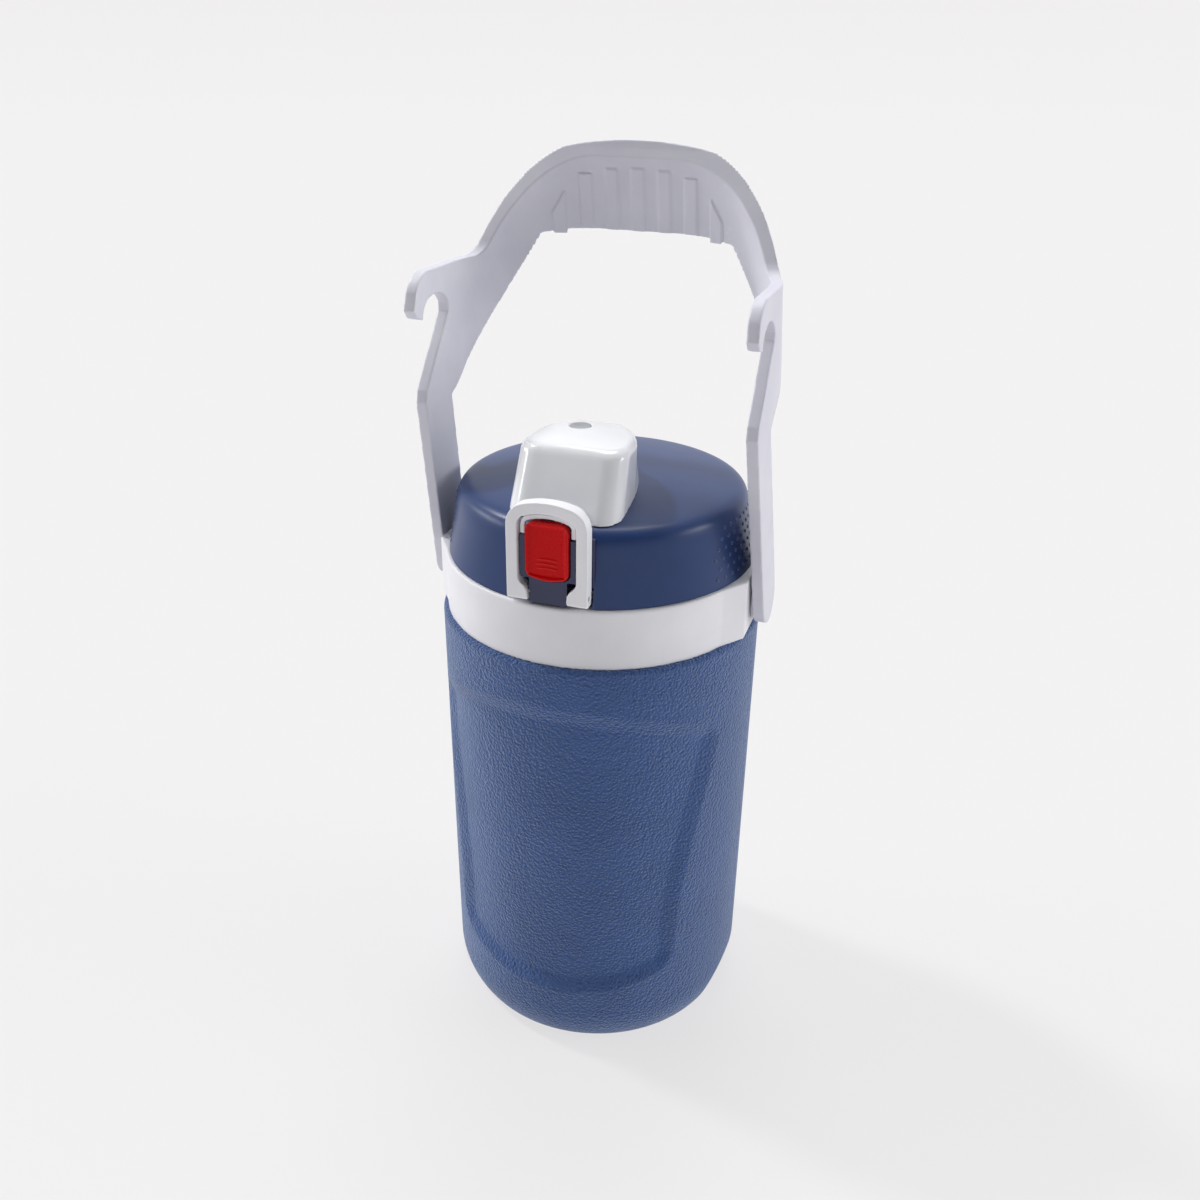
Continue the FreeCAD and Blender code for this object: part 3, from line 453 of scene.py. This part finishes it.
def add_stud(vertices, faces, centre, out, along, upward):
    start = len(vertices)
    around = 12
    levels = [(0.95, -0.35), (0.93, 0.0), (0.78, 0.24), (0.45, 0.40)]
    for radius, rise in levels:
        for step in range(around):
            turn = 2 * math.pi * step / around
            point = centre + out * rise + (along * math.cos(turn) + upward * math.sin(turn)) * radius
            vertices.append(tuple(point))
    for level in range(len(levels) - 1):
        for step in range(around):
            beside = (step + 1) % around
            low, high = start + level * around, start + (level + 1) * around
            faces.append((low + step, low + beside, high + beside, high + step))
    faces.append(tuple(start + (len(levels) - 1) * around + step for step in range(around)))
    faces.append(tuple(start + step for step in reversed(range(around))))


# ---------------------------------------------------------------- cap, latch and handle

DIMPLE = (-5.0, -16.0)
BUTTON_HALF = 9.2


def cap():
    """Flip cap with a crowned top, and a grey disc in its dimple as painted shade for the hollow."""
    dent = round_cutter("dent", DIMPLE, 4.7, 290.2, 294.0)
    shell = softened("cap_shell", "flip_cap", 0.45, 3, [dent])
    for spot in shell.data.vertices:
        x, y, z = spot.co / MM
        raised = blended(285.0, 290.8, z)
        crown = max(0.0, 1.0 - (x / 23.0) ** 2) * max(0.0, 1.0 - ((y + 25.0) / 22.0) ** 2)
        spot.co.z += 1.1 * MM * raised * crown
    placed(shell, "flip_cap", "cap_white", "flip_cap")
    # painted shade: a grey disc fills the dimple where there is only the hollow's shade
    profile = smooth_path([(4.6, 291.2), (4.4, 291.75), (3.2, 291.6), (1.6, 291.45), (0.02, 291.4)], 4)
    profile += [(0.02, 290.9), (4.4, 290.9)]
    rings = lathe_rings(profile, 48, DIMPLE)
    placed(ring_stack("dimple_painted_shade", rings), "flip_cap", "seal_grey")


def button():
    """Push button with a dished face and three raised lines near its foot."""
    shell = softened("button_face", "release_button", 0.3, 5)
    for spot in shell.data.vertices:
        x, y, z = spot.co / MM
        if y > -69.0:
            continue
        side = BUTTON_HALF - abs(x)
        end = min(268.9 - z, z - (243.8 + 0.9 * (x / BUTTON_HALF) ** 2))
        dish = blended(0.9, 2.3, min(side, end))
        lines = sum(math.exp(-((z - level + 0.02 * x * x) / 0.35) ** 2) for level in (249.4, 251.3, 253.2))
        lines *= 1.0 - blended(3.6, 5.0, abs(x))
        spot.co.y += (0.75 * dish - 0.35 * lines * dish) * MM
    placed(shell, "button", "button_red", "release_button")


def latch():
    placed(softened("latch_surround", "latch_bezel", 0.3, 4), "lid", "latch_navy", "latch_bezel")
    placed(softened("wire_loop", "lock_loop", 0.35, 6), "lock_loop", "loop_white", "lock_loop")


def return_spring():
    """The button's spring, a copy of the CAD spring carried by the lid."""
    source = bpy.data.objects["button_spring"]
    spring = bpy.data.objects.new("return_spring", source.data.copy())
    bpy.context.scene.collection.objects.link(spring)
    spring.matrix_world = source.matrix_world.copy()
    placed(spring, "lid", "spring_steel", "button_spring")
    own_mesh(spring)


def handle():
    placed(softened("carry_handle", "handle", 0.5, 2), "handle", "handle_white", "handle")


def collar():
    placed(softened("pivot_collar", "collar_band", 0.6, 4), "jug", "band_white", "collar_band")


# ---------------------------------------------------------------- floor, light and camera

def sun(name, azimuth, elevation, spread, power):
    """Even studio light from a compass side: azimuth 0 is the front, 90 the right."""
    lamp = bpy.data.lights.new(name, "SUN")
    lamp.energy = power
    lamp.angle = math.radians(spread)
    turn, rise = math.radians(azimuth), math.radians(elevation)
    source = Vector((math.sin(turn) * math.cos(rise), -math.cos(turn) * math.cos(rise), math.sin(rise)))
    holder = bpy.data.objects.new(name, lamp)
    holder.location = source * 2.0
    holder.rotation_euler = (-source).to_track_quat("-Z", "Y").to_euler()
    bpy.context.scene.collection.objects.link(holder)


FLOOR_SIDES = 96
SWEEP_START = 6000.0
SWEEP_END = 22000.0
BACKDROP_TOP = 60000.0


def sweep_rise(radius):
    return 20.0 * (max(0.0, radius - SWEEP_START) / 1000.0) ** 2


def floor():
    """Level paper that sweeps up far around the jug, and a backdrop above it."""
    reach = [400.0, 1000.0, 2500.0, 5000.0] + [SWEEP_START + 1000.0 * step for step in range(17)]
    rings = lathe_rings([(radius, sweep_rise(radius)) for radius in reach], FLOOR_SIDES)
    vertices = [(0.0, 0.0, 0.0)] + [point for ring in rings for point in ring]
    faces = [(0, 1 + step, 1 + (step + 1) % FLOOR_SIDES) for step in range(FLOOR_SIDES)]
    for row in range(len(rings) - 1):
        start = 1 + row * FLOOR_SIDES
        for step in range(FLOOR_SIDES):
            low = start + step
            beside = start + (step + 1) % FLOOR_SIDES
            faces.append((low, low + FLOOR_SIDES, beside + FLOOR_SIDES, beside))
    sheet = mesh_object("floor", vertices, faces)
    paper = bpy.data.materials.new("paper")
    paper.use_nodes = True
    shader = paper.node_tree.nodes["Principled BSDF"]
    shader.inputs["Base Color"].default_value = (0.16, 0.158, 0.158, 1.0)
    shader.inputs["Emission Color"].default_value = (1.0, 0.985, 0.992, 1.0)
    shader.inputs["Emission Strength"].default_value = 0.69
    shader.inputs["Roughness"].default_value = 0.9
    shader.inputs["Specular IOR Level"].default_value = 0.0
    sheet.data.materials.append(paper)
    edges = [(SWEEP_END, sweep_rise(SWEEP_END)), (SWEEP_END, BACKDROP_TOP)]
    low, high = lathe_rings(edges, FLOOR_SIDES)
    wall_faces = []
    for step in range(FLOOR_SIDES):
        beside = (step + 1) % FLOOR_SIDES
        wall_faces.append((step, beside, FLOOR_SIDES + beside, FLOOR_SIDES + step))
    wall = mesh_object("backdrop", low + high, wall_faces)
    wall.data.materials.append(paper)
    wall.visible_diffuse = False
    wall.visible_glossy = False
    wall.visible_shadow = False


def studio():
    """Sky that is brighter behind the jug, an overhead light, a key and two side lights."""
    floor()
    world = bpy.context.scene.world or bpy.data.worlds.new("studio")
    bpy.context.scene.world = world
    world.use_nodes = True
    tree = world.node_tree
    sky = tree.nodes["Background"]
    sky.inputs["Color"].default_value = (0.97, 0.98, 1.0, 1.0)
    place = node(tree, "ShaderNodeTexCoord")
    split = node(tree, "ShaderNodeSeparateXYZ")
    wire(tree, place, "Generated", split, "Vector")
    bright = node(tree, "ShaderNodeMapRange")
    for entry, value in (("From Min", -0.25), ("From Max", 0.45), ("To Min", 0.05), ("To Max", 0.95)):
        bright.inputs[entry].default_value = value
    wire(tree, split, "Y", bright, "Value")
    wire(tree, bright, "Result", sky, "Strength")
    sun("overhead", 195.0, 62.0, 28.0, 1.0)
    sun("key", 258.0, 50.0, 6.0, 1.5)
    sun("left", 278.0, 12.0, 34.0, 2.2)
    sun("right", 104.0, 12.0, 34.0, 2.1)


def camera():
    """Above the front, a little to the right, looking down at the lid."""
    azimuth, pitch, roll = 0.322203, 0.456682, 0.0129768
    forward = Vector((-math.sin(azimuth) * math.cos(pitch), math.cos(azimuth) * math.cos(pitch),
                      -math.sin(pitch)))
    right = Vector((math.cos(azimuth), math.sin(azimuth), 0.0))
    upward = right.cross(forward)
    side = right * math.cos(roll) + upward * math.sin(roll)
    top = upward * math.cos(roll) - right * math.sin(roll)
    place = Vector((0.0, 0.0, 0.203607)) - forward * 0.55382 - side * 0.000718
    lens = bpy.data.cameras.new("view")
    lens.sensor_fit = "HORIZONTAL"
    lens.sensor_width = 36.0
    lens.lens = 35.978
    holder = bpy.data.objects.new("view", lens)
    turn = Matrix((side, top, -forward)).transposed().to_4x4()
    holder.matrix_world = Matrix.Translation(place) @ turn
    bpy.context.scene.collection.objects.link(holder)
    bpy.context.scene.camera = holder


jacket()
lid()
grip_dots()
cap()
button()
latch()
return_spring()
handle()
collar()
for name in ("foam_insulation", "inner_liner", "base_fill_plug", "left_pivot_pin", "right_pivot_pin",
             "lid_liner", "lid_foam", "lid_gasket", "spout", "cap_seal", "cap_hinge_pin", "cap_spring",
             "button_spring", "loop_axle"):
    part = bpy.data.objects[name]
    part.data.materials.clear()
    part.data.materials.append(LOOKS[SLOT_OF[name]])
studio()
camera()
bpy.context.scene.view_settings.view_transform = "Standard"
